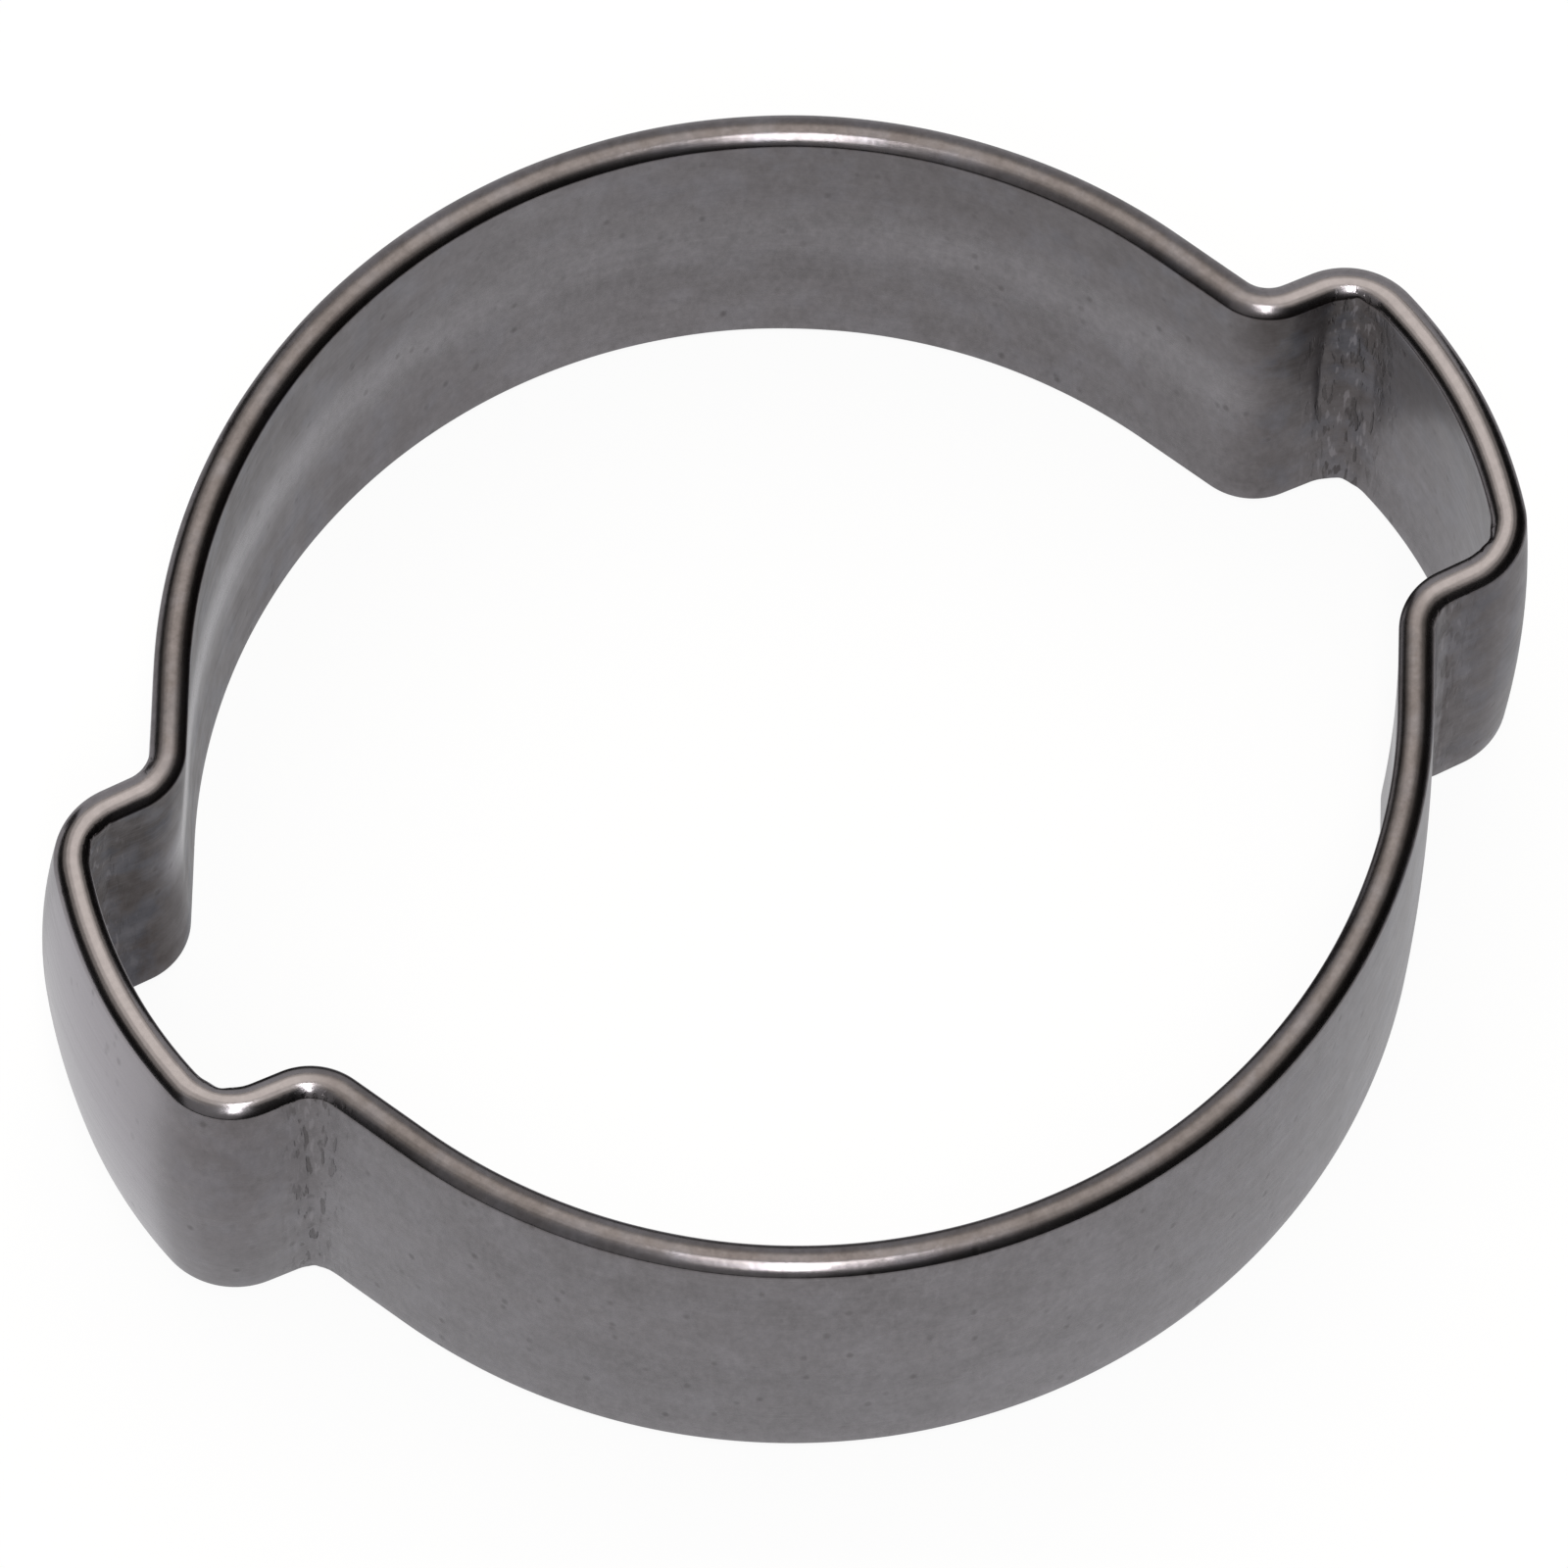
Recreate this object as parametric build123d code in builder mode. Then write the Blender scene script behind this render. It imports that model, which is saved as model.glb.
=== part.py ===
"""Two-ear hose clamp: one closed steel band with an ear pressed out on each side.

The band is a ring cut from seamless tube, so it has no joint, weld or overlap. It lies on one rim, with
the bore along +Z and the ears at +X and -X. The origin is where the bore's axis meets the surface under it.
Sizes are in millimetres and degrees.
"""

from build123d import *
import os
from math import atan, cos, degrees, hypot, radians, sin

# ---- Band ----
bore_diameter = 23.0  # inside the round stretches, before the ears are pinched
band_width = 8.4  # along the bore
band_thickness = 0.7

# ---- Rims, tumbled after cutting ----
rim_land = 0.2  # flat left along the middle of a rim
rim_slope = 60.0  # of the rounded-off edges of a rim where they meet the walls

# ---- Ears ----
ear_gap = 6.05  # between the legs of an ear at their feet, inside
ear_rise = 2.45  # from the round band up to the crest
leg_lean = 1.7  # of each leg towards the middle of its ear
crest_radius = 9.0  # of the gently arched crest, inside
shoulder_radius = 0.9  # of the bend between leg and crest, on its tight inner side
root_radius = 0.7  # of the bend between band and leg, on its tight outer side
root_flat = 2.5  # straight stretch between the round band and the foot of a leg

bore_radius = bore_diameter / 2
crest_top = bore_radius + ear_rise
rim_radius = (band_thickness - rim_land) / 2 / sin(radians(rim_slope))

# The straight stretch leaves the bore's circle along a tangent and ends at the foot of the leg, so the
# foot lies at a known distance from the bore's axis, half the gap to the side of the ears' line.
foot_distance = hypot(bore_radius, root_flat)
foot = Vector((foot_distance**2 - (ear_gap / 2) ** 2) ** 0.5, ear_gap / 2)
tangent_angle = degrees(atan(foot.Y / foot.X) + atan(root_flat / bore_radius))
leg_direction = (cos(radians(leg_lean)), -sin(radians(leg_lean)))

# Inside of the band: a round bore with the hollow of an ear on each side. It is drawn as a quarter,
# from the crest round to the middle of a round stretch, and mirrored twice.
with BuildLine() as inside:
    crest_circle = CenterArc((crest_top - crest_radius, 0), crest_radius, 0, 90, mode=Mode.PRIVATE)
    leg = IntersectingLine(foot, leg_direction, crest_circle)
    RadiusArc((crest_top, 0), leg @ 1, -crest_radius)
    round_stretch = CenterArc((0, 0), bore_radius, tangent_angle, 90 - tangent_angle)
    Line(foot, round_stretch @ 0)
    fillet(inside.vertices().sort_by_distance(leg @ 1)[0], shoulder_radius)
    fillet(inside.vertices().sort_by_distance(leg @ 0)[0], root_radius + band_thickness)
    mirror(about=Plane.XZ)
    mirror(about=Plane.YZ)

with BuildLine() as middle:
    offset(inside.wires()[0], amount=band_thickness / 2)

# The band's section, swept once round its middle line. It is drawn as a quarter, from the lower rim's
# land up to half the band's width, and mirrored twice. Its local X is the way up.
with BuildPart() as clamp_band:
    with BuildSketch(Plane(middle.line @ 0, x_dir=(0, 0, 1), z_dir=middle.line % 0)):
        with BuildLine():
            Line((0, 0), (0, rim_land / 2))
            edge = CenterArc((rim_radius, rim_land / 2), rim_radius, 180, -rim_slope)
            Line(edge @ 1, (band_width / 2, band_thickness / 2))
            mirror(about=Plane.XZ)
            mirror(about=Plane.YZ.offset(band_width / 2))
        make_face()
    sweep(path=middle.line)

clamp_band.part.label = "clamp_band"
os.makedirs("parts", exist_ok=True)
export_step(clamp_band.part, "parts/clamp_band.step")
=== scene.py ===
"""Looks of the two-ear hose clamp: the tumbled steel band, a pale floor, studio lamps and the camera.

Names that end in _MM are lengths in millimetres, and the named angles are in degrees. Whatever reaches
Blender is in metres.
"""

import math

import bpy
import numpy as np
from mathutils import Matrix, Vector


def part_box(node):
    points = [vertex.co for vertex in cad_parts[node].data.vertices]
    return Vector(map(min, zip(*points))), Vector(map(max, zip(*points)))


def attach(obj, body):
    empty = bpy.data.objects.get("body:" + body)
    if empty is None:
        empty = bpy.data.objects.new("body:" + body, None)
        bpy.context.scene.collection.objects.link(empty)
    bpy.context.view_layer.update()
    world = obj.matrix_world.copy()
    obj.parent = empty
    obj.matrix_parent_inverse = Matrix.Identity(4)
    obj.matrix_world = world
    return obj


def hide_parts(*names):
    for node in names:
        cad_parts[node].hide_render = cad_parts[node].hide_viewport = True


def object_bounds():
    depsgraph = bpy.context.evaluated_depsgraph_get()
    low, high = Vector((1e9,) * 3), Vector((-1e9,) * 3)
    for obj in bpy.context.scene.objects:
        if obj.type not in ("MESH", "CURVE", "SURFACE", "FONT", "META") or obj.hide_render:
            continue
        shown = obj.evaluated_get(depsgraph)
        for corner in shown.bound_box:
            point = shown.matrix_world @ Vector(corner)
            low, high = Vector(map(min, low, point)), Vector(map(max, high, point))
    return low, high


MM = 0.001

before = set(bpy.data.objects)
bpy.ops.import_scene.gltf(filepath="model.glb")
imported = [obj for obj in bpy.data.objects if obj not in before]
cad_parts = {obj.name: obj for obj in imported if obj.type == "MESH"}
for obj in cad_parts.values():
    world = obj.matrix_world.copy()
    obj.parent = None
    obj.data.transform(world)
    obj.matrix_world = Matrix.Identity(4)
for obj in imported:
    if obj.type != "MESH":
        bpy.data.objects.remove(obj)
cad_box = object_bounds()
band_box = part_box("clamp_band")

# ---- The band, with the dimensions of the part's source ----
THICKNESS_MM = 0.7
EAR_GAP_MM = 6.05  # between the legs of an ear at their feet
LEG_LEAN = 1.7
CREST_RADIUS_MM = 9.0
SHOULDER_RADIUS_MM = 0.9
ROOT_RADIUS_MM = 0.7
ROOT_FLAT_MM = 2.5
BAND_WIDTH_MM = (band_box[1].z - band_box[0].z) / MM
BORE_RADIUS_MM = (band_box[1].y - band_box[0].y) / 2 / MM - THICKNESS_MM
CREST_TOP_MM = (band_box[1].x - band_box[0].x) / 2 / MM - THICKNESS_MM

# ---- Camera, as the photograph was taken ----
CAMERA_AZIMUTH = -27.68
CAMERA_ELEVATION = 65.57
CAMERA_ROLL = 2.23
CAMERA_DISTANCE_MM = 388.1
CAMERA_TARGET_MM = (0.7096, 1.6067, 0.0)
LENS_MM = 457.96
SENSOR_MM = 36.0
CLIP_START = 0.01  # metres
CLIP_END = 10.0


# ---- Middle line of the band ----
def arc(centre, radius, start, end, side):
    """A bend of the middle line, as a run: a function of shares, 0 to 1, and the run's length.

    The function gives points and outward normals. The angles are in radians, and side is 1 where the
    centre lies inside the band and -1 where it lies outside.
    """
    def at(share):
        angle = start + (end - start) * share
        spoke = np.stack([np.cos(angle), np.sin(angle)], axis=-1)
        return np.array(centre) + radius * spoke, side * spoke
    return at, abs(end - start) * radius


def straight(start, end, normal):
    """A straight stretch of the middle line, as a run."""
    start, end = np.array(start), np.array(end)

    def at(share):
        points = start + np.outer(share, end - start)
        return points, np.tile(normal, (len(points), 1))
    return at, float(np.linalg.norm(end - start))


def quarter_runs():
    """The middle line from the crest of the right ear round to the middle of the far round stretch."""
    half = THICKNESS_MM / 2
    lean = math.radians(LEG_LEAN)
    foot_distance = math.hypot(BORE_RADIUS_MM, ROOT_FLAT_MM)
    foot = np.array([math.sqrt(foot_distance**2 - (EAR_GAP_MM / 2) ** 2), EAR_GAP_MM / 2])
    tangent = math.atan(foot[1] / foot[0]) + math.atan(ROOT_FLAT_MM / BORE_RADIUS_MM)
    leg_normal = np.array([math.sin(lean), math.cos(lean)])
    flat_normal = np.array([math.cos(tangent), math.sin(tangent)])

    crest = np.array([CREST_TOP_MM - CREST_RADIUS_MM, 0.0])
    reach = CREST_RADIUS_MM - SHOULDER_RADIUS_MM
    gap = -SHOULDER_RADIUS_MM - (crest - foot) @ leg_normal
    shoulder_start = math.asin(gap / reach) - lean
    shoulder_end = math.pi / 2 - lean
    shoulder = crest + reach * np.array([math.cos(shoulder_start), math.sin(shoulder_start)])
    sides = np.array([leg_normal, flat_normal])
    gaps = np.array([
        foot @ leg_normal + ROOT_RADIUS_MM + THICKNESS_MM,
        BORE_RADIUS_MM + ROOT_RADIUS_MM + THICKNESS_MM,
    ])
    root = np.linalg.solve(sides, gaps)

    crest_radius = CREST_RADIUS_MM + half
    shoulder_radius = SHOULDER_RADIUS_MM + half
    root_radius = ROOT_RADIUS_MM + half
    round_radius = BORE_RADIUS_MM + half
    leg = (shoulder + shoulder_radius * leg_normal, root - root_radius * leg_normal)
    flat = (root - root_radius * flat_normal, round_radius * flat_normal)
    return [
        arc(crest, crest_radius, 0.0, shoulder_start, 1),
        arc(shoulder, shoulder_radius, shoulder_start, shoulder_end, 1),
        straight(*leg, leg_normal),
        arc(root, root_radius, shoulder_end + math.pi, tangent + math.pi, -1),
        straight(*flat, flat_normal),
        arc((0.0, 0.0), round_radius, tangent, math.pi / 2, 1),
    ]


CREST, SHOULDER, LEG, ROOT, FLAT, ROUND = range(6)  # the kinds of run, in their order along a quarter
STEPS_MM = {CREST: 0.12, SHOULDER: 0.05, LEG: 0.1, ROOT: 0.04, FLAT: 0.1, ROUND: 0.16}


def mirrored(values, flip):
    """The line so far, followed by its mirror image, without the point on the mirror."""
    return np.concatenate([values, values[-2::-1] * flip])


def middle_line():
    """Points, outward normals and kinds of run, once round the band from the crest of the right ear."""
    points, normals, kinds = [], [], []
    runs = quarter_runs()
    for kind, (at, length) in enumerate(runs):
        count = max(2, round(length / STEPS_MM[kind]))
        run_points, run_normals = at(np.arange(count) / count)
        points.append(run_points)
        normals.append(run_normals)
        kinds.append(np.full(count, kind))
    last_run, _ = runs[ROUND]
    end_points, end_normals = last_run(np.array([1.0]))
    points = np.concatenate(points + [end_points])
    normals = np.concatenate(normals + [end_normals])
    kinds = np.concatenate(kinds + [np.array([ROUND])])
    for flip in ((-1.0, 1.0), (1.0, -1.0)):
        points = mirrored(points, np.array(flip))
        normals = mirrored(normals, np.array(flip))
        kinds = mirrored(kinds, 1)
    return points[:-1], normals[:-1], kinds[:-1]


def bell(distance, spread):
    """A bell curve with 1 at its top."""
    return np.exp(-0.5 * (distance / spread) ** 2)


class Line:
    """The middle line with its stations, for shapes and masks that run along the band."""

    def __init__(self):
        self.points, self.normals, self.kinds = middle_line()
        step = np.linalg.norm(np.roll(self.points, -1, axis=0) - self.points, axis=1)
        self.station = np.concatenate([[0.0], np.cumsum(step)])
        self.length = self.station[-1]
        self.stretch = (step + np.roll(step, 1)) / 2  # of the band that each point stands for
        self.right = self.points[:, 0] > 0
        self.back = self.points[:, 1] > 0

    def distance(self, station):
        """How far each point is from a station, the short way round."""
        apart = np.abs(self.station[:-1] - station)
        return np.minimum(apart, self.length - apart)

    def smooth(self, values, spread):
        """Values blurred along the band."""
        blurred = np.empty(len(values))
        for number, station in enumerate(self.station[:-1]):
            weight = bell(self.distance(station), spread) * self.stretch
            blurred[number] = (weight * values).sum() / weight.sum()
        return blurred

    def middle_of(self, kind, right, back):
        """The station at the middle of one run."""
        inside = (self.kinds == kind) & (self.right == right) & (self.back == back)
        stations = self.station[:-1][inside]
        return (stations.min() + stations.max()) / 2


# ---- Section of the band ----
RIM_RADIUS_MM = 0.45  # of the tumbled rims, over most of their breadth
CORNER_RADIUS_MM = 0.1  # between a rim and the walls
RIM_STEPS = 10
CORNER_STEPS = 5
WALL_STEPS = 18


def half_rim():
    """From the middle of the lower rim to the foot of the outer wall: a wide arc, then a tight one."""
    inset = THICKNESS_MM / 2 - CORNER_RADIUS_MM
    reach = RIM_RADIUS_MM - CORNER_RADIUS_MM
    turn = math.asin(inset / reach)
    rim = np.linspace(0, turn, RIM_STEPS + 1)
    corner = np.linspace(turn, math.pi / 2, CORNER_STEPS + 1)[1:]
    corner_height = RIM_RADIUS_MM - reach * math.cos(turn)
    rim_up = RIM_RADIUS_MM * (1 - np.cos(rim))
    corner_up = corner_height - CORNER_RADIUS_MM * np.cos(corner)
    across = np.concatenate([RIM_RADIUS_MM * np.sin(rim), inset + CORNER_RADIUS_MM * np.sin(corner)])
    return across, np.concatenate([rim_up, corner_up])


def section():
    """The band's section from the middle of the lower rim, up the outer wall and back down the inner."""
    across, up = half_rim()
    wall_up = np.linspace(up[-1], BAND_WIDTH_MM - up[-1], WALL_STEPS + 1)[1:-1]
    wall_across = np.full(len(wall_up), THICKNESS_MM / 2)
    outer_across = np.concatenate([across, wall_across, across[::-1]])
    outer_up = np.concatenate([up, wall_up, BAND_WIDTH_MM - up[::-1]])
    all_across = np.concatenate([outer_across, -outer_across[-2:0:-1]])
    all_up = np.concatenate([outer_up, outer_up[-2:0:-1]])
    return all_across, all_up


def on_walls(up):
    """1 on the walls and 0 on the middle of the rims."""
    return np.clip(np.minimum(up, BAND_WIDTH_MM - up) / (RIM_RADIUS_MM / 2), 0, 1)


# ---- Small departures of the real band from the plain one ----
SEED = 11
CROWN_ROUND_MM = 0.09  # by which the walls stand out at half their width
CROWN_LEFT_EAR_MM = 0.32
CROWN_RIGHT_EAR_MM = 0.16
CROWN_SPREAD_MM = 1.3
WAVE_MM = 0.008  # of the rims, up and down
WAVE_COUNTS = range(5, 34, 3)  # waves once round the band, laid over each other
WAVE_SIZES = (0.3, 1.0)
FOLD_DEPTH_MM = 0.05  # of the crease inside a shoulder
FOLD_SPREAD_MM = 0.13
MARKS_PER_BEND = 7
MARK_DEPTHS_MM = (0.006, 0.018)
MARK_SPREAD_MM = 0.06
MARK_REACH_MM = 0.75  # along the band, to both sides of a bend's middle
MARK_CENTRES = (0.1, 0.9)  # share of the band's width
MARK_HEIGHTS_MM = (0.8, 2.6)  # from a mark's middle to where it fades
MARK_SHARPNESS = 4  # of the marks' ends and of their edges at the rims


def crown(line, up):
    """How far each vertex stands out, because the walls are crowned."""
    ear = (line.kinds < ROOT).astype(float)
    rise = np.where(line.right, CROWN_RIGHT_EAR_MM, CROWN_LEFT_EAR_MM)
    along = line.smooth(CROWN_ROUND_MM + ear * (rise - CROWN_ROUND_MM), CROWN_SPREAD_MM)
    middle = BAND_WIDTH_MM / 2
    return along[:, None] * (1 - ((up - middle) / middle) ** 2)[None, :]


def waves(line, draw):
    """A slow waver along the band, of 1 at its largest."""
    total = np.zeros(len(line.points))
    for count in WAVE_COUNTS:
        phase = draw.uniform(0, 2 * math.pi)
        size = draw.uniform(*WAVE_SIZES)
        total += size * np.sin(2 * math.pi * count * line.station[:-1] / line.length + phase)
    return total / np.abs(total).max()


def marks(line, across, up, draw):
    """Dents: creases inside the shoulders, and tool marks up the tight side of each bend."""
    dents = np.zeros((len(line.points), len(across)))
    inner = np.clip(-across / (THICKNESS_MM / 2), 0, 1) ** MARK_SHARPNESS
    outer = np.clip(across / (THICKNESS_MM / 2), 0, 1) ** MARK_SHARPNESS
    quarters = [(right, back) for right in (True, False) for back in (True, False)]
    for right, back in quarters:
        for kind, side, sign in ((SHOULDER, inner, 1), (ROOT, outer, -1)):
            middle = line.middle_of(kind, right, back)
            for _ in range(MARKS_PER_BEND):
                station = middle + draw.uniform(-MARK_REACH_MM, MARK_REACH_MM)
                depth = draw.uniform(*MARK_DEPTHS_MM)
                height = draw.uniform(*MARK_CENTRES) * BAND_WIDTH_MM
                tall = draw.uniform(*MARK_HEIGHTS_MM)
                along = bell(line.distance(station), MARK_SPREAD_MM)
                upright = np.exp(-((up - height) / tall) ** MARK_SHARPNESS)
                dents += sign * depth * along[:, None] * (upright * side)[None, :]
        fold = bell(line.distance(line.middle_of(SHOULDER, right, back)), FOLD_SPREAD_MM)
        dents += FOLD_DEPTH_MM * fold[:, None] * inner[None, :]
    return dents


# ---- Masks for the band's material ----
# How soiled and darkened by painted shade the walls are, inside and outside: for each leg as (right,
# back), for each round stretch where it meets that leg, and for the crests as right
LEG_SOIL_AND_SHADE = {
    (True, True): (1.0, 0.25),
    (True, False): (0.5, 0.65),
    (False, True): (1.0, 0.2),
    (False, False): (0.5, 0.3),
}
ROUND_SOIL_AND_SHADE = {
    (True, True): (0.55, 0.0),
    (True, False): (0.38, 0.5),
    (False, True): (1.0, 0.0),
    (False, False): (0.15, 0.16),
}
CREST_SOIL_AND_SHADE = {
    True: (0.56, 0.2),
    False: (0.45, 0.0),
}
MIDDLE_SOIL_AND_SHADE = (0.28, 0.08)  # where two round stretches meet, at the front and the back
RIM_SHADE = 0.38  # painted shade on the rims of the round stretches
RIM_SHEEN = 0.4  # painted sheen on the rims of the ears
STRIPE_SHARE = 0.9  # of the soil and painted shade inside the round stretches, gone from a stripe along them
STRIPE_MIDDLE_MM = 4.3  # above the lower rim
STRIPE_HALF_MM = 1.1
SOIL_AND_SHADE_FADE_RIGHT = 0.55  # of the soil and painted shade inside, gone at the lower rim
SOIL_AND_SHADE_FADE_LEFT = 0.15
EAR_SPREAD_MM = 0.22
BEND_SPREAD_MM = 0.4
# Spread along the band of the painted sheen, and of the fade of the soil and painted shade
SHEEN_AND_FADE_SPREAD_MM = 0.8


def soil_and_shade(line, across, up):
    """Forming residue and painted shade: strong inside the ears, faint on the other walls, and painted
    shade on the rims of the round stretches.
    """
    outward = np.abs(line.points[:, 0]) / BORE_RADIUS_MM
    root = line.kinds == ROOT
    ears = (line.kinds < ROOT) | root & (outward > outward[root].mean())
    share = line.smooth(ears.astype(float), EAR_SPREAD_MM)

    sides = []
    for side, middle in enumerate(MIDDLE_SOIL_AND_SHADE):
        ear = np.zeros(len(line.points))
        plain = np.zeros(len(line.points))
        for quarter, amounts in LEG_SOIL_AND_SHADE.items():
            here = (line.right == quarter[0]) & (line.back == quarter[1])
            ear[here & ears] = amounts[side]
            slope = ROUND_SOIL_AND_SHADE[quarter][side] - middle
            plain[here] = middle + slope * outward[here]
        for right, amounts in CREST_SOIL_AND_SHADE.items():
            ear[(line.kinds == CREST) & (line.right == right)] = amounts[side]
        sides.append(line.smooth(ear, EAR_SPREAD_MM) + (1 - share) * plain)
    inside, outside = sides

    loss = line.smooth(np.where(line.right, SOIL_AND_SHADE_FADE_RIGHT, SOIL_AND_SHADE_FADE_LEFT), SHEEN_AND_FADE_SPREAD_MM)
    fade = 1 - loss[:, None] * (1 - up / BAND_WIDTH_MM)[None, :]
    stripe = STRIPE_SHARE * np.exp(-((up - STRIPE_MIDDLE_MM) / STRIPE_HALF_MM) ** 2)
    kept = fade * (1 - stripe[None, :] * (1 - share[:, None]))
    walls = np.where(across[None, :] < 0, inside[:, None] * kept, outside[:, None])
    wall = on_walls(up)[None, :]
    # Painted shade on the rims of the round stretches; the walls carry soil and painted shade
    return walls * wall + RIM_SHADE * (1 - share[:, None]) * (1 - wall)


def painted_sheen(line, across, up):
    """Painted sheen, how much brighter the steel is painted: most outside the left ear's crest, some on
    the rims of the ears.
    """
    crest = line.smooth(((line.kinds == CREST) & ~line.right).astype(float), SHEEN_AND_FADE_SPREAD_MM)
    ears = line.smooth((line.kinds <= ROOT).astype(float), EAR_SPREAD_MM)
    wall = on_walls(up)[None, :]
    outside = np.where(across[None, :] > 0, crest[:, None], 0.0)
    return outside * wall + RIM_SHEEN * ears[:, None] * (1 - wall)


def tight(line, across):
    """1 on the tight side of a bend: inside the shoulders and outside the roots."""
    shoulder = line.smooth((line.kinds == SHOULDER).astype(float), BEND_SPREAD_MM)
    root = line.smooth((line.kinds == ROOT).astype(float), BEND_SPREAD_MM)
    return np.where(across[None, :] < 0, shoulder[:, None], root[:, None])


# ---- Mesh of the band ----
UV_NAME = "round_and_girth"


def band_vertices(line, across, up):
    """The vertices, section by section once round the band, in metres."""
    draw = np.random.default_rng(SEED)
    out = across[None, :] + crown(line, up) + marks(line, across, up, draw)
    side = 2 * up / BAND_WIDTH_MM - 1  # from -1 at the lower rim to 1 at the upper one
    lift = waves(line, draw)[:, None] * WAVE_MM * side[None, :]
    lift -= WAVE_MM * np.sign(side)[None, :]
    plan = line.points[:, None, :] + line.normals[:, None, :] * out[:, :, None]
    height = (up[None, :] + lift)[:, :, None]
    return np.concatenate([plan, height], axis=2).reshape(-1, 3) * MM


def band_faces(rounds, girth):
    """Quads between each section and the next, as numbers of vertices."""
    here = np.arange(rounds)[:, None] * girth + np.arange(girth)[None, :]
    ahead = np.roll(here, -1, axis=0)
    quads = np.stack([here, ahead, np.roll(ahead, -1, axis=1), np.roll(here, -1, axis=1)], axis=-1)
    return quads.reshape(-1, 4)


def band_uv(line, across, up):
    """Corners of the faces: u runs round the band and v round its section, both from 0 to 1."""
    step = np.hypot(np.roll(across, -1) - across, np.roll(up, -1) - up)
    girth_station = np.concatenate([[0.0], np.cumsum(step)])
    u = line.station / line.length
    v = girth_station / girth_station[-1]
    low_u, low_v = np.meshgrid(u[:-1], v[:-1], indexing="ij")
    high_u, high_v = np.meshgrid(u[1:], v[1:], indexing="ij")
    return np.stack([low_u, low_v, high_u, low_v, high_u, high_v, low_u, high_v], axis=-1)


def build_band():
    """The dressed band, one closed mesh with its UV map and masks."""
    line = Line()
    across, up = section()
    vertices = band_vertices(line, across, up)
    faces = band_faces(len(line.points), len(across))

    mesh = bpy.data.meshes.new("clamp_band_steel")
    mesh.from_pydata(vertices.tolist(), [], faces.tolist())
    mesh.polygons.foreach_set("use_smooth", np.ones(len(faces), bool))
    layer = mesh.uv_layers.new(name=UV_NAME)
    layer.data.foreach_set("uv", band_uv(line, across, up).reshape(-1).astype(np.float32))

    rim = np.tile(1 - on_walls(up), (len(line.points), 1))
    # Masks of the material: soil with painted shade, a painted sheen, the tight sides of the bends and
    # the rims
    masks = {
        "soil_and_shade": soil_and_shade(line, across, up),
        "painted_sheen": painted_sheen(line, across, up),
        "tight": tight(line, across),
        "rim": rim,
    }
    for name, values in masks.items():
        layer = mesh.attributes.new(name, "FLOAT", "POINT")
        layer.data.foreach_set("value", values.reshape(-1).astype(np.float32))
    mesh.update()
    mesh.validate()

    band = bpy.data.objects.new("clamp_band_steel", mesh)
    bpy.context.scene.collection.objects.link(band)
    return band


# ---- Materials ----
# Sockets of a Mix node for colours, which bear the same names as those for numbers and vectors
MIX_SHARE = 0
MIX_FIRST = 6
MIX_SECOND = 7
MIX_RESULT = 2


class Nodes:
    """A material's nodes, with short ways to add the ones used here."""

    def __init__(self, name):
        self.material = bpy.data.materials.new(name)
        self.material.use_nodes = True
        self.tree = self.material.node_tree
        self.tree.nodes.clear()

    def add(self, kind, **settings):
        node = self.tree.nodes.new(kind)
        for name, value in settings.items():
            setattr(node, name, value)
        return node

    def put(self, socket, value):
        """A socket takes another node's output, or a plain value."""
        if isinstance(value, bpy.types.NodeSocket):
            self.tree.links.new(value, socket)
        else:
            socket.default_value = value

    def math(self, operation, first, second):
        node = self.add("ShaderNodeMath", operation=operation)
        self.put(node.inputs[0], first)
        self.put(node.inputs[1], second)
        return node.outputs[0]

    def total(self, first, *others):
        for other in others:
            first = self.math("ADD", first, other)
        return first

    def product(self, first, *others):
        for other in others:
            first = self.math("MULTIPLY", first, other)
        return first

    def scaled(self, place, scale):
        node = self.add("ShaderNodeVectorMath", operation="MULTIPLY")
        self.put(node.inputs[0], place)
        node.inputs[1].default_value = scale
        return node.outputs[0]

    def noise(self, place, scale, detail, rough):
        """Noise of 0 to 1 with that many waves a millimetre along x, y and z."""
        node = self.add("ShaderNodeTexNoise")
        self.put(node.inputs["Vector"], self.scaled(place, scale))
        node.inputs["Scale"].default_value = 1.0
        node.inputs["Detail"].default_value = detail
        node.inputs["Roughness"].default_value = rough
        return node.outputs[0]

    def spread(self, value, low, high, to_low=0.0, to_high=1.0):
        """The stretch from low to high, mapped to another one and held there."""
        node = self.add("ShaderNodeMapRange")
        for number, setting in enumerate((value, low, high, to_low, to_high)):
            self.put(node.inputs[number], setting)
        return node.outputs[0]

    def mix(self, share, first, second):
        node = self.add("ShaderNodeMix", data_type="RGBA")
        self.put(node.inputs[MIX_SHARE], share)
        self.put(node.inputs[MIX_FIRST], first)
        self.put(node.inputs[MIX_SECOND], second)
        return node.outputs[MIX_RESULT]

    def mask(self, name):
        return self.add("ShaderNodeAttribute", attribute_name=name).outputs["Fac"]

    def bump(self, height, distance_mm, normal=None):
        node = self.add("ShaderNodeBump")
        node.inputs["Distance"].default_value = distance_mm * MM
        self.put(node.inputs["Height"], height)
        if normal is not None:
            self.put(node.inputs["Normal"], normal)
        return node.outputs[0]

    def surface(self, shader):
        """The finished material."""
        output = self.add("ShaderNodeOutputMaterial")
        self.put(output.inputs["Surface"], shader)
        return self.material


STEEL_DARK = (0.124, 0.116, 0.120, 1.0)
STEEL_LIGHT = (0.204, 0.190, 0.199, 1.0)
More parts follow.
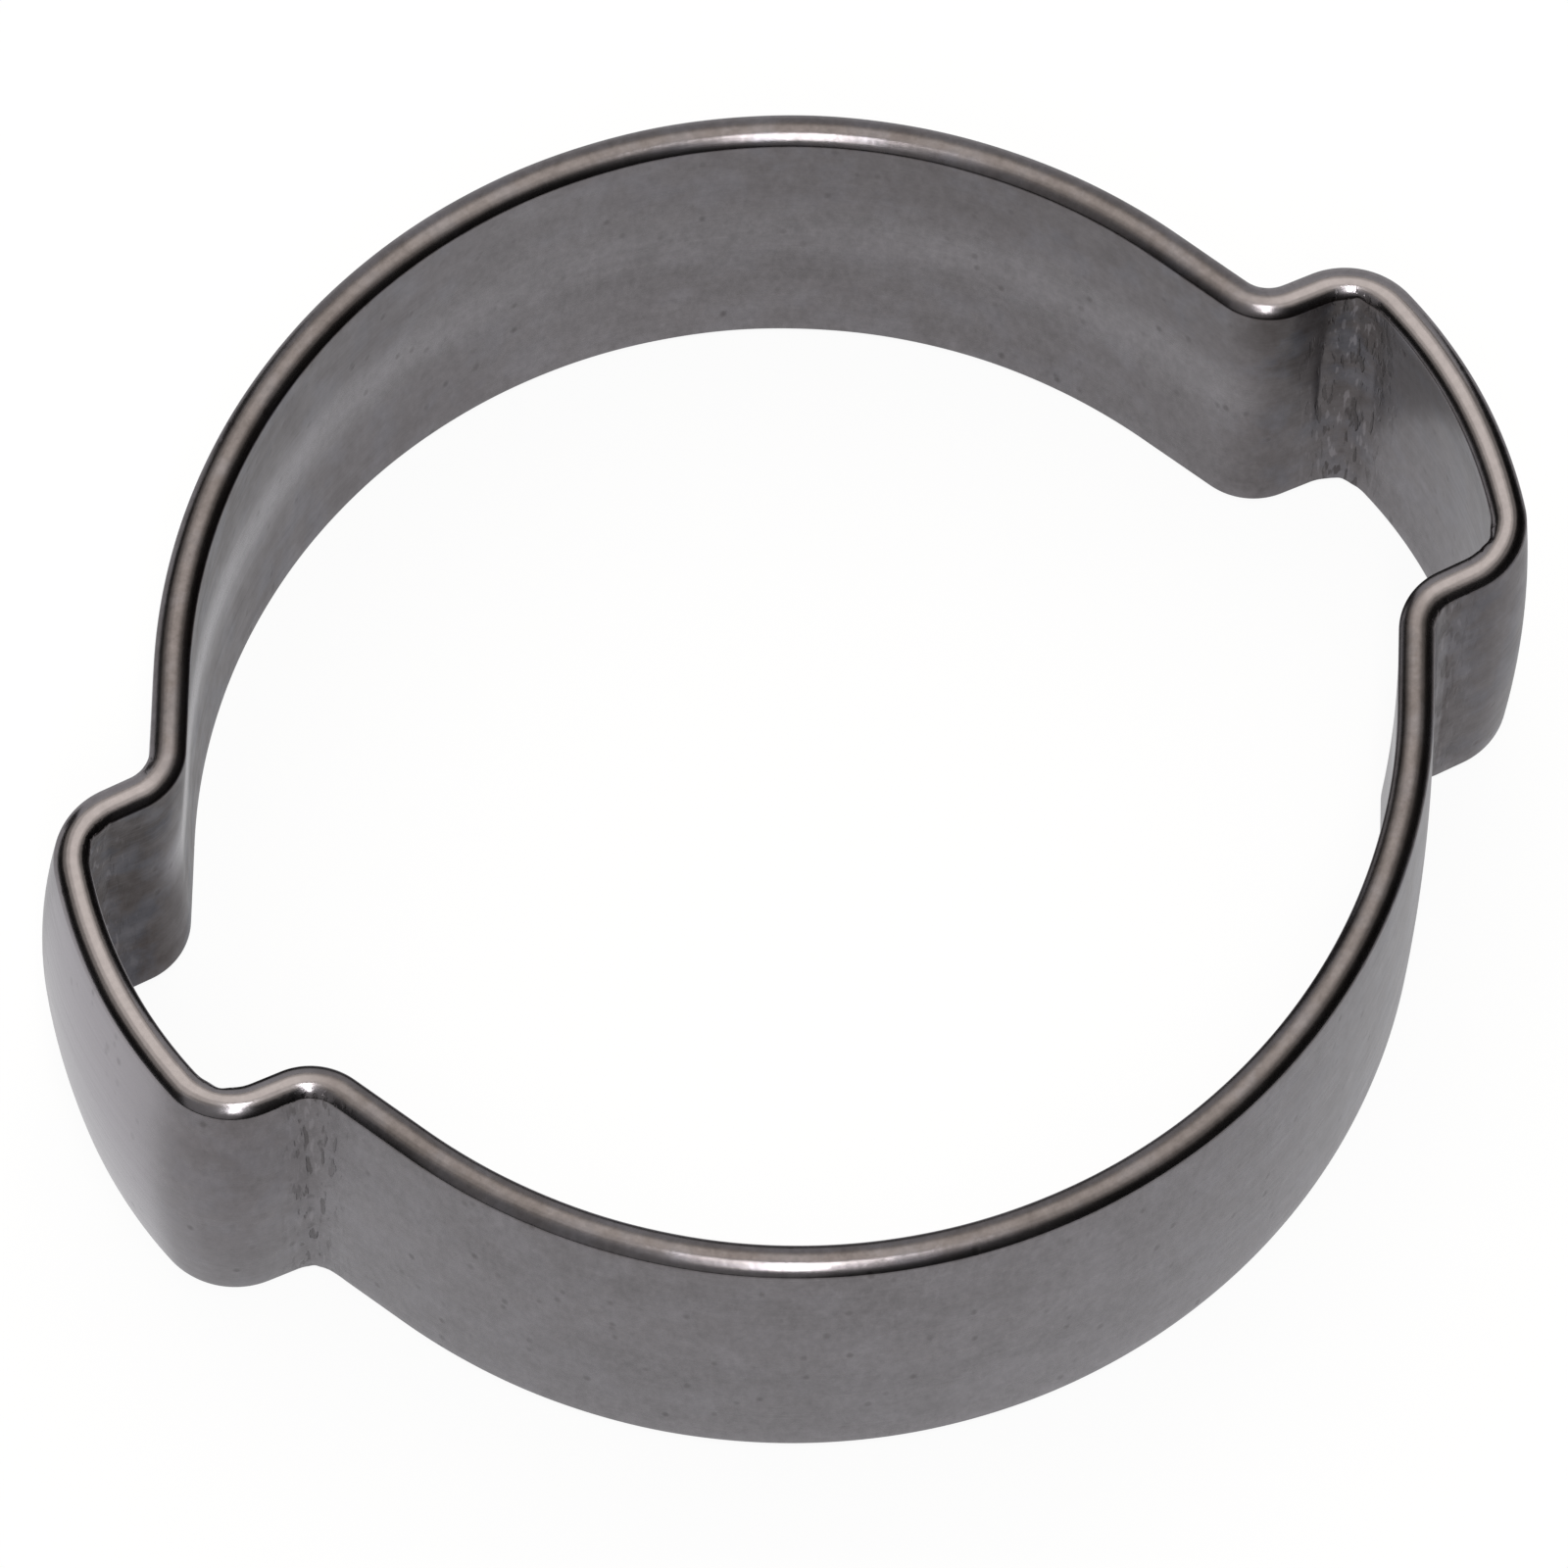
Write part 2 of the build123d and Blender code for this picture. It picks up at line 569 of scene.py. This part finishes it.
# Bright steel, for the painted sheen and for the bright scratches at the bends
STEEL_BRIGHT = (0.288, 0.269, 0.284, 1.0)
STEEL_EDGE_TINT = (0.85, 0.85, 0.87, 1.0)
# Colours of the soil, which also carry painted shade
SOIL_AND_SHADE_BROWN = (0.024, 0.014, 0.009, 1.0)
SOIL_AND_SHADE_BLUE = (0.030, 0.030, 0.039, 1.0)
PIT_COLOUR = (0.028, 0.022, 0.020, 1.0)
WALL_ROUGHNESS = 0.24
RIM_ROUGHNESS = 0.14
ANISOTROPY = 0.3
ANISOTROPY_TURN = 0.25  # of a full turn, so that gloss is drawn out across the band

# Patterns in the steel, each with its waves a millimetre along x, y and z, its detail and roughness
STREAKS = ((0.3, 0.3, 9.0), 5, 0.6)  # along the band
BANDS = ((0.05, 0.05, 0.42), 2, 0.5)  # along the band, broad and faint
CLOUDS = ((1.0, 1.0, 0.7), 4, 0.6)
GRAIN = ((6.0, 6.0, 3.0), 4, 0.7)
DASHES = ((7.5, 7.5, 1.2), 2, 0.5)  # up the tight side of each bend
BLOTCHES = ((1.6, 1.6, 1.1), 4, 0.6)  # in the soil and painted shade
RIPPLES = ((2.0, 2.0, 2.0), 2, 0.5)  # on the rims

# Share of each pattern in the steel's tone, and the stretch of the tone from dark to light steel
STREAK_TONE = 0.15
BAND_TONE = 0.2
CLOUD_TONE = 0.25
GRAIN_TONE = 0.4
TONE_RANGE = (0.38, 0.62)

PIT_CELLS = (2.6, 2.6, 1.4)  # a millimetre along x, y and z, with one pit in each at most
PIT_EDGE = (0.09, 0.24)  # from a pit's middle, in cells, where it begins to fade and where it ends
PIT_CHOICE = (0.35, 0.95)  # of a cell's own number, from no pit to the darkest
PIT_DARKNESS = 0.5
LINE_RANGE = (0.57, 0.64)  # of the dashes that show as dark lines
LINE_DARKNESS = 0.8
SCRATCH_RANGE = (0.4, 0.34)  # of the dashes that show as bright scratches
SCRATCH_BRIGHTNESS = 0.35
TINT_RANGE = (0.48, 0.62)  # of the clouds, from the brown to the blue of the soil and painted shade
BLOTCH_RANGE = (0.3, 0.65)
BLOTCH_SHARES = (0.72, 1.0)  # of the soil and painted shade, at the two ends of that range
STREAK_RANGE = (0.3, 0.7)
STREAK_ROUGHNESS = (-0.03, 0.03)  # added at the two ends of that range
SOIL_AND_SHADE_ROUGHNESS = 0.2  # added where the soil and painted shade are full
STREAK_BUMP_MM = 0.002
RIPPLE_BUMP_MM = 0.005
PIT_BUMP_MM = 0.01


def pits(nodes, place):
    """Small dark pits, scattered over the steel: 0 to 1."""
    cells = nodes.add("ShaderNodeTexVoronoi")
    nodes.put(cells.inputs["Vector"], nodes.scaled(place, PIT_CELLS))
    cells.inputs["Scale"].default_value = 1.0
    cell = nodes.add("ShaderNodeSeparateColor")
    nodes.put(cell.inputs[0], cells.outputs["Color"])
    spots = nodes.spread(cells.outputs["Distance"], *PIT_EDGE, 1.0, 0.0)
    return nodes.product(spots, nodes.spread(cell.outputs[0], *PIT_CHOICE))


def steel_material():
    """Steel with streaks, clouds, grain, soil with painted shade, a painted sheen and pits, marks at the
    bends and smoother rims.
    """
    nodes = Nodes("band_steel_tumbled")
    place = nodes.scaled(nodes.add("ShaderNodeTexCoord").outputs["Object"], (1 / MM,) * 3)
    streaks = nodes.noise(place, *STREAKS)
    bands = nodes.noise(place, *BANDS)
    clouds = nodes.noise(place, *CLOUDS)
    grain = nodes.noise(place, *GRAIN)
    dashes = nodes.noise(place, *DASHES)
    blotches = nodes.noise(place, *BLOTCHES)
    rim = nodes.mask("rim")
    # Forming residue with painted shade, the tight sides of the bends, and a painted sheen
    soil_and_shade_share = nodes.mask("soil_and_shade")
    bent = nodes.mask("tight")
    sheen_share = nodes.mask("painted_sheen")
    wall = nodes.math("SUBTRACT", 1.0, rim)

    tone = nodes.total(
        nodes.product(streaks, STREAK_TONE),
        nodes.product(bands, BAND_TONE),
        nodes.product(clouds, CLOUD_TONE),
        nodes.product(grain, GRAIN_TONE),
    )
    colour = nodes.mix(nodes.spread(tone, *TONE_RANGE), STEEL_DARK, STEEL_LIGHT)
    # Painted sheen: brighter steel outside the left ear's crest and on the rims of the ears
    colour = nodes.mix(sheen_share, colour, STEEL_BRIGHT)

    # Soil and painted shade: darker steel, brown to blue, in the ears and on the walls and rims of the
    # round stretches
    soil_and_shade_colour = nodes.mix(nodes.spread(clouds, *TINT_RANGE), SOIL_AND_SHADE_BROWN, SOIL_AND_SHADE_BLUE)
    stain_and_shade = nodes.product(soil_and_shade_share, nodes.spread(blotches, *BLOTCH_RANGE, *BLOTCH_SHARES))
    colour = nodes.mix(stain_and_shade, colour, soil_and_shade_colour)

    scratches = nodes.spread(dashes, *SCRATCH_RANGE, 0.0, SCRATCH_BRIGHTNESS)
    colour = nodes.mix(nodes.product(bent, wall, scratches), colour, STEEL_BRIGHT)

    lines = nodes.product(bent, nodes.spread(dashes, *LINE_RANGE), LINE_DARKNESS)
    spots = nodes.product(pits(nodes, place), PIT_DARKNESS)
    dark = nodes.product(nodes.math("MAXIMUM", spots, lines), wall)
    colour = nodes.mix(dark, colour, PIT_COLOUR)

    roughness = nodes.total(
        nodes.spread(rim, 0.0, 1.0, WALL_ROUGHNESS, RIM_ROUGHNESS),
        nodes.spread(streaks, *STREAK_RANGE, *STREAK_ROUGHNESS),
        nodes.product(stain_and_shade, SOIL_AND_SHADE_ROUGHNESS),
    )

    ripples = nodes.product(nodes.noise(place, *RIPPLES), rim)
    normal = nodes.bump(nodes.product(streaks, wall), STREAK_BUMP_MM)
    normal = nodes.bump(ripples, RIPPLE_BUMP_MM, normal)
    normal = nodes.bump(nodes.math("SUBTRACT", 1.0, dark), PIT_BUMP_MM, normal)

    shader = nodes.add("ShaderNodeBsdfPrincipled")
    nodes.put(shader.inputs["Base Color"], colour)
    nodes.put(shader.inputs["Roughness"], roughness)
    nodes.put(shader.inputs["Normal"], normal)
    shader.inputs["Metallic"].default_value = 1.0
    shader.inputs["Specular Tint"].default_value = STEEL_EDGE_TINT
    shader.inputs["Anisotropic"].default_value = ANISOTROPY
    shader.inputs["Anisotropic Rotation"].default_value = ANISOTROPY_TURN
    tangent = nodes.add("ShaderNodeTangent", direction_type="UV_MAP", uv_map=UV_NAME)
    nodes.put(shader.inputs["Tangent"], tangent.outputs[0])
    return nodes.surface(shader.outputs[0])


# ---- Floor ----
FLOOR_COLOUR = (0.8, 0.8, 0.8, 1.0)
FLOOR_SHOWN = 0.9  # share of plain white in what camera and gloss see; the rest is the lit floor
FLOOR_GLOW = 1.03  # strength of that white
FLOOR_SIZE = 3.0  # metres
FLOOR_GAP_MM = 0.02  # below the band


def floor_material():
    """Pale and lit, so that it keeps the shadow, and mostly plain white to the camera and in gloss."""
    nodes = Nodes("floor_white")
    lit = nodes.add("ShaderNodeBsdfDiffuse")
    lit.inputs["Color"].default_value = FLOOR_COLOUR
    plain = nodes.add("ShaderNodeEmission")
    plain.inputs["Strength"].default_value = FLOOR_GLOW
    path = nodes.add("ShaderNodeLightPath")
    seen = nodes.math("MAXIMUM", path.outputs["Is Camera Ray"], path.outputs["Is Glossy Ray"])
    seen = nodes.math("MAXIMUM", seen, path.outputs["Is Transmission Ray"])
    mix = nodes.add("ShaderNodeMixShader")
    nodes.put(mix.inputs[0], nodes.product(seen, FLOOR_SHOWN))
    nodes.put(mix.inputs[1], lit.outputs[0])
    nodes.put(mix.inputs[2], plain.outputs[0])
    return nodes.surface(mix.outputs[0])


def build_floor():
    mesh = bpy.data.meshes.new("floor")
    half = FLOOR_SIZE / 2
    corners = [(-half, -half, 0), (half, -half, 0), (half, half, 0), (-half, half, 0)]
    mesh.from_pydata(corners, [], [(0, 1, 2, 3)])
    mesh.materials.append(floor_material())
    floor = bpy.data.objects.new("floor", mesh)
    floor.location.z = cad_box[0].z - FLOOR_GAP_MM * MM
    bpy.context.scene.collection.objects.link(floor)


# ---- Lamps, world and camera ----
WARM = (1.0, 0.94, 0.85)
WHITE = (1.0, 1.0, 1.0)
WORLD_COLOUR = (1.0, 1.0, 1.0, 1.0)
WORLD_STRENGTH = 0.006


def sideways(azimuth):
    """Unit vector to the right, as seen from that azimuth."""
    a = math.radians(azimuth)
    return Vector((math.cos(a), math.sin(a), 0.0))


def direction(azimuth, elevation):
    """Unit vector from the object towards a camera or lamp at that azimuth and elevation."""
    a = math.radians(azimuth)
    e = math.radians(elevation)
    return Vector((math.sin(a) * math.cos(e), -math.cos(a) * math.cos(e), math.sin(e)))


def facing(azimuth, elevation, distance, target):
    """The placement of a lamp or camera that looks at the target with its top up."""
    back = direction(azimuth, elevation)
    right = sideways(azimuth)
    turn = Matrix((right, back.cross(right), back)).transposed().to_4x4()
    return Matrix.Translation(target + back * distance) @ turn


def build_lamp(name, turn, elevation, aside, distance, spread, radiance, colour):
    """A soft rectangular lamp, turned from the camera's azimuth, raised, then moved aside to the right.

    Those three and spread, half its breadth and half its height, are angles seen from the object.
    """
    breadth, height = (2 * distance * math.tan(math.radians(angle)) for angle in spread)
    lamp = bpy.data.lights.new(name, "AREA")
    lamp.shape = "RECTANGLE"
    lamp.size = breadth
    lamp.size_y = height
    lamp.energy = radiance * math.pi * breadth * height
    lamp.color = colour
    target = sideways(CAMERA_AZIMUTH) * distance * math.tan(math.radians(aside))
    item = bpy.data.objects.new(name, lamp)
    item.matrix_world = facing(CAMERA_AZIMUTH + turn, elevation, distance, target)
    bpy.context.scene.collection.objects.link(item)


def build_lamps():
    """The three overhead lamps overlap, and make one that is brightest in its middle."""
    build_lamp(
        "lamp_overhead_wide", turn=180, elevation=72, aside=-6,
        distance=0.5, spread=(42, 38), radiance=0.55, colour=WARM,
    )
    build_lamp(
        "lamp_overhead_middle", turn=180, elevation=70, aside=-5,
        distance=0.5, spread=(28, 30), radiance=0.95, colour=WARM,
    )
    build_lamp(
        "lamp_overhead_core", turn=180, elevation=67, aside=-2,
        distance=0.5, spread=(16, 16), radiance=0.8, colour=WARM,
    )
    build_lamp(
        "lamp_far", turn=180, elevation=18, aside=0,
        distance=0.6, spread=(34, 18), radiance=0.85, colour=WHITE,
    )
    build_lamp(
        "lamp_key", turn=0, elevation=70, aside=1.3,
        distance=0.45, spread=(1.7, 18), radiance=32.0, colour=WHITE,
    )
    build_lamp(
        "lamp_fill", turn=-20, elevation=42, aside=0,
        distance=0.6, spread=(24, 26), radiance=0.48, colour=WHITE,
    )
    build_lamp(
        "lamp_left", turn=-95, elevation=9, aside=0,
        distance=0.6, spread=(38, 8), radiance=1.0, colour=WHITE,
    )


def build_world():
    world = bpy.context.scene.world or bpy.data.worlds.new("studio")
    bpy.context.scene.world = world
    world.use_nodes = True
    tree = world.node_tree
    tree.nodes.clear()
    background = tree.nodes.new("ShaderNodeBackground")
    background.inputs["Color"].default_value = WORLD_COLOUR
    background.inputs["Strength"].default_value = WORLD_STRENGTH
    output = tree.nodes.new("ShaderNodeOutputWorld")
    tree.links.new(background.outputs[0], output.inputs["Surface"])


def build_camera():
    data = bpy.data.cameras.new("camera")
    data.lens = LENS_MM
    data.sensor_width = SENSOR_MM
    data.clip_start = CLIP_START
    data.clip_end = CLIP_END
    camera = bpy.data.objects.new("camera", data)
    target = Vector(CAMERA_TARGET_MM) * MM
    place = facing(CAMERA_AZIMUTH, CAMERA_ELEVATION, CAMERA_DISTANCE_MM * MM, target)
    camera.matrix_world = place @ Matrix.Rotation(math.radians(CAMERA_ROLL), 4, "Z")
    bpy.context.scene.collection.objects.link(camera)
    bpy.context.scene.camera = camera


# ---- The scene ----
band = build_band()
band.data.materials.append(steel_material())
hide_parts("clamp_band")
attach(band, "root")

build_floor()
build_lamps()
build_world()
build_camera()

bpy.context.scene.view_settings.view_transform = "Standard"
